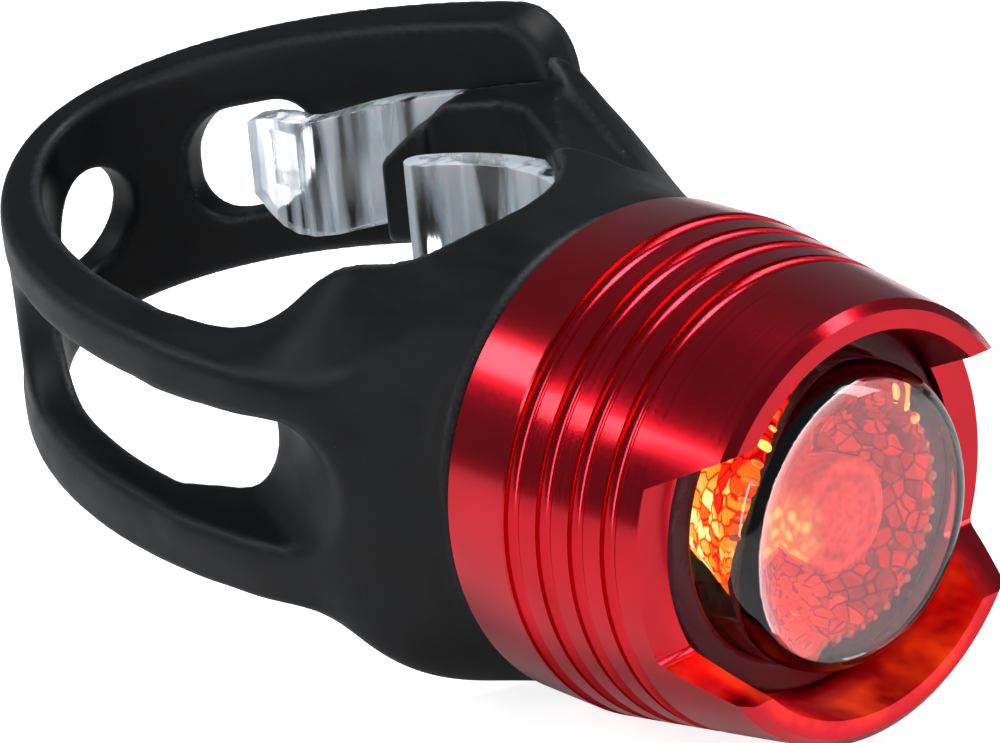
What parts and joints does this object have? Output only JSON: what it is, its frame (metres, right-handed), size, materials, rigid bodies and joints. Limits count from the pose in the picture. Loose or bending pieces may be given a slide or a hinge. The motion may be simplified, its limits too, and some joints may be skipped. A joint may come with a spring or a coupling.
{
  "type": "strap-on bicycle rear light",
  "caption": "Small round rear light with a grooved metal bezel, press lens, and a silicone holder whose strap loops round a frame tube and closes on a clear hook.",
  "frame": {"origin": "on the axis of the tube that the light is strapped to, level with the lamp's own axis", "axes": "+Z along that tube's axis with the bezel's hood up, -Y the way the lens looks, +X the side where the strap closes"},
  "size_m": [0.0318, 0.0695, 0.032],
  "materials": {
    "anodised_red": "satin red anodised aluminium",
    "clear_plastic": "clear polycarbonate",
    "clear_lens": "clear polished lens",
    "black_silicone": "matt moulded silicone",
    "seal_rubber": "matt seal rubber",
    "reflector_metal": "metallised facets",
    "led_ceramic": "moulded package",
    "led_clear": "clear moulded emitter lens",
    "board_laminate": "soldermask",
    "black_resin": "moulded resin",
    "ceramic_tan": "fired ceramic",
    "spring_steel": "plated spring steel",
    "cell_steel": "nickel-plated can",
    "inner_plastic": "moulded plastic"
  },
  "bodies": {
    "holder": {"silicone_holder": "black_silicone", "clear_core": "clear_plastic", "battery_tray": "inner_plastic", "coin_cell_rear": "cell_steel", "coin_cell_front": "cell_steel", "negative_contact": "spring_steel"},
    "bezel_seal": {"bezel_o_ring": "seal_rubber"},
    "bezel": {"bezel_barrel": "anodised_red", "lens_seal": "seal_rubber", "reflector": "reflector_metal", "led_base": "led_ceramic", "led_lens": "led_clear", "circuit_board": "board_laminate", "driver_chip": "black_resin", "board_resistors": "black_resin", "board_capacitor": "ceramic_tan", "switch_body": "spring_steel", "positive_contact": "spring_steel", "retaining_ring": "inner_plastic", "spacer_ring": "inner_plastic"},
    "lens_button": {"lens": "clear_lens"},
    "plunger": {"switch_plunger": "black_resin"},
    "strap": {"strap_band": "black_silicone"}
  },
  "joints": [
    {"name": "bezel_advance", "type": "slide", "parent": "holder", "child": "bezel_seal", "axis": [0, -1, 0], "range_m": [0, 0.00451]},
    {"name": "bezel_turn", "type": "hinge", "parent": "bezel_seal", "child": "bezel", "pos_m": [0.0025, -0.0136, 0], "axis": [0, -1, 0], "range_deg": [0, 1080]},
    {"name": "lens_press", "type": "slide", "parent": "bezel", "child": "lens_button", "axis": [0, 1, 0], "range_m": [0, 0.0005], "stiffness_N_per_m": 3000, "springref_m": -0.0002},
    {"name": "plunger_press", "type": "slide", "parent": "bezel", "child": "plunger", "axis": [0, 1, 0], "range_m": [0, 0.00055]},
    {"name": "strap_open", "type": "hinge", "parent": "holder", "child": "strap", "pos_m": [0.0047, 0.03657, 0], "axis": [0, 0, 1], "range_deg": [0, 75]}
  ],
  "couplings": [
    {"joint": "bezel_advance", "follows": "bezel_turn", "m_per_rad": 0.00023873},
    {"joint": "plunger_press", "follows": "lens_press", "ratio": 1}
  ]
}
